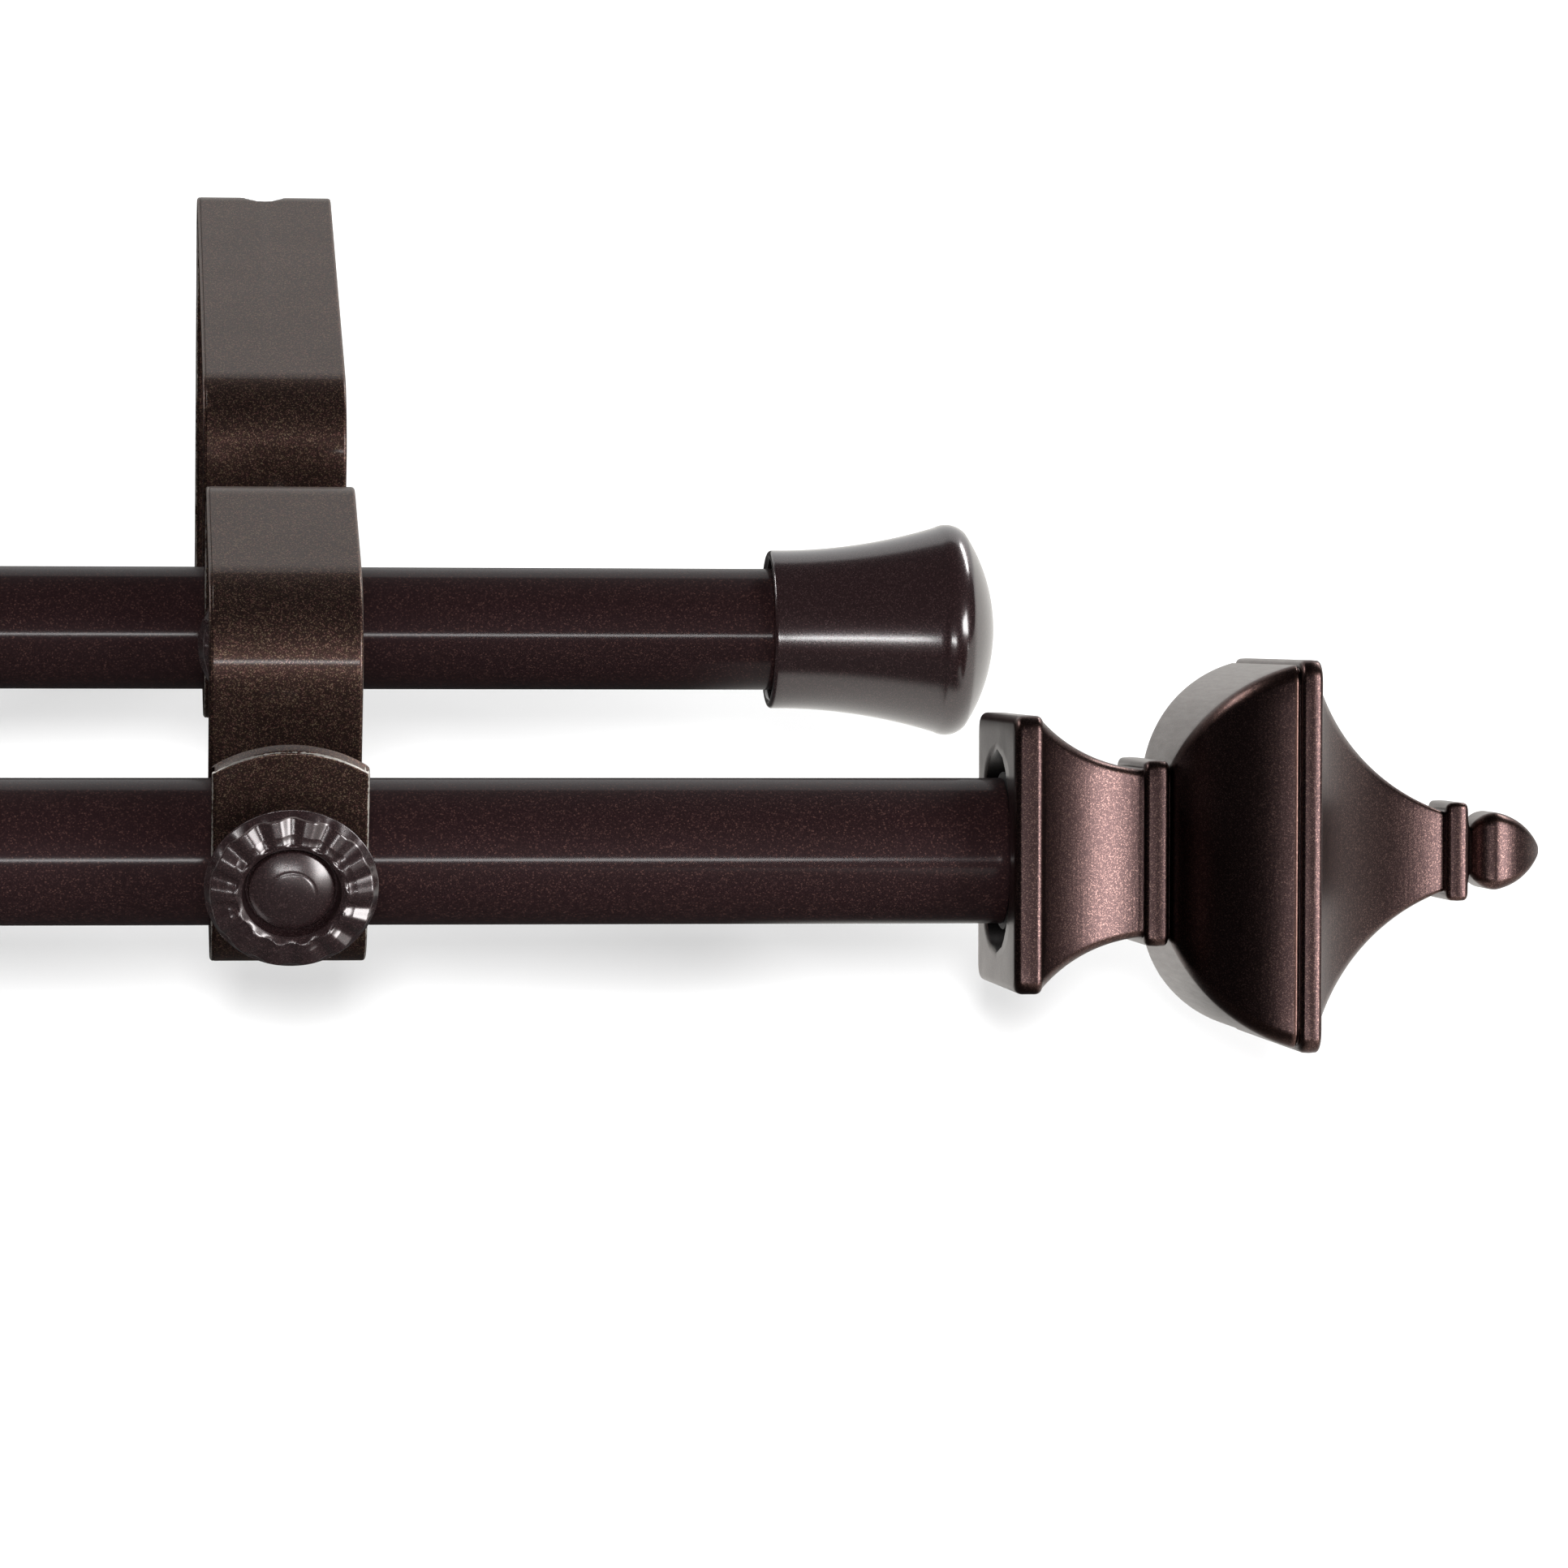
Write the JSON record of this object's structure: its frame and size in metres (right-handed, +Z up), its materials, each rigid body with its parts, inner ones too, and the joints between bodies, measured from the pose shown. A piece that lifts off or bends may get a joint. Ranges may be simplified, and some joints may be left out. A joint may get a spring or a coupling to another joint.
{
  "type": "double curtain pole",
  "caption": "Extendable double curtain pole on bent strap brackets, with square finials in front, trumpet caps behind and fluted thumb screws.",
  "frame": {"origin": "on the wall face of the right-hand bracket, midway between its two screw holes", "axes": "+X along the poles to the right, +Y into the wall, +Z up"},
  "size_m": [0.8556, 0.1989, 0.0728],
  "materials": {
    "pole_paint": "glossy dark bronze paint with fine flake",
    "strap_paint": "dark bronze paint with coarse flake, worn bright at the edges",
    "knob_paint": "glossy dark bronze paint",
    "cap_paint": "glossy dark bronze paint",
    "finial_resin": "satin metallic dark bronze coating on cast resin",
    "moulded_plastic": "plain moulded black plastic",
    "plated_thread": "zinc plated thread"
  },
  "bodies": {
    "right_half": {"bracket_right": "strap_paint", "front_tube_outer": "pole_paint", "back_tube_outer": "pole_paint", "front_guide_sleeve": "moulded_plastic", "back_guide_sleeve": "moulded_plastic", "finial_right": "finial_resin", "finial_plug_right": "moulded_plastic", "finial_stud_right": "plated_thread", "end_cap_right": "cap_paint"},
    "left_half": {"bracket_left": "strap_paint", "front_tube_inner": "pole_paint", "back_tube_inner": "pole_paint", "front_glide": "moulded_plastic", "back_glide": "moulded_plastic", "front_pole_collar": "moulded_plastic", "back_pole_collar": "moulded_plastic", "finial_left": "finial_resin", "finial_plug_left": "moulded_plastic", "finial_stud_left": "plated_thread", "end_cap_left": "cap_paint"},
    "front_screw_right": {"front_screw_right": "plated_thread"},
    "front_knob_right": {"front_knob_right": "knob_paint"},
    "back_screw_right": {"back_screw_right": "plated_thread"},
    "back_knob_right": {"back_knob_right": "knob_paint"},
    "front_screw_left": {"front_screw_left": "plated_thread"},
    "front_knob_left": {"front_knob_left": "knob_paint"},
    "back_screw_left": {"back_screw_left": "plated_thread"},
    "back_knob_left": {"back_knob_left": "knob_paint"}
  },
  "joints": [
    {"name": "pole_extend", "type": "slide", "parent": "right_half", "child": "left_half", "axis": [-1, 0, 0], "range_m": [0, 0.43]},
    {"name": "front_screw_right_travel", "type": "slide", "parent": "right_half", "child": "front_screw_right", "axis": [0, -1, 0], "range_m": [0, 0.004]},
    {"name": "front_knob_right_turn", "type": "hinge", "parent": "front_screw_right", "child": "front_knob_right", "pos_m": [0, -0.18, 0.01432], "axis": [0, -1, 0], "range_deg": [0, 1800]},
    {"name": "back_screw_right_travel", "type": "slide", "parent": "right_half", "child": "back_screw_right", "axis": [0, -1, 0], "range_m": [0, 0.004]},
    {"name": "back_knob_right_turn", "type": "hinge", "parent": "back_screw_right", "child": "back_knob_right", "pos_m": [0, -0.1091, 0.01535], "axis": [0, -1, 0], "range_deg": [0, 1800]},
    {"name": "front_screw_left_travel", "type": "slide", "parent": "left_half", "child": "front_screw_left", "axis": [0, -1, 0], "range_m": [0, 0.004]},
    {"name": "front_knob_left_turn", "type": "hinge", "parent": "front_screw_left", "child": "front_knob_left", "pos_m": [-0.5258, -0.18, 0.01432], "axis": [0, -1, 0], "range_deg": [0, 1800]},
    {"name": "back_screw_left_travel", "type": "slide", "parent": "left_half", "child": "back_screw_left", "axis": [0, -1, 0], "range_m": [0, 0.004]},
    {"name": "back_knob_left_turn", "type": "hinge", "parent": "back_screw_left", "child": "back_knob_left", "pos_m": [-0.5258, -0.1091, 0.01535], "axis": [0, -1, 0], "range_deg": [0, 1800]}
  ],
  "couplings": [
    {"joint": "front_screw_right_travel", "follows": "front_knob_right_turn", "m_per_rad": 0.0001273},
    {"joint": "back_screw_right_travel", "follows": "back_knob_right_turn", "m_per_rad": 0.0001273},
    {"joint": "front_screw_left_travel", "follows": "front_knob_left_turn", "m_per_rad": 0.0001273},
    {"joint": "back_screw_left_travel", "follows": "back_knob_left_turn", "m_per_rad": 0.0001273}
  ]
}
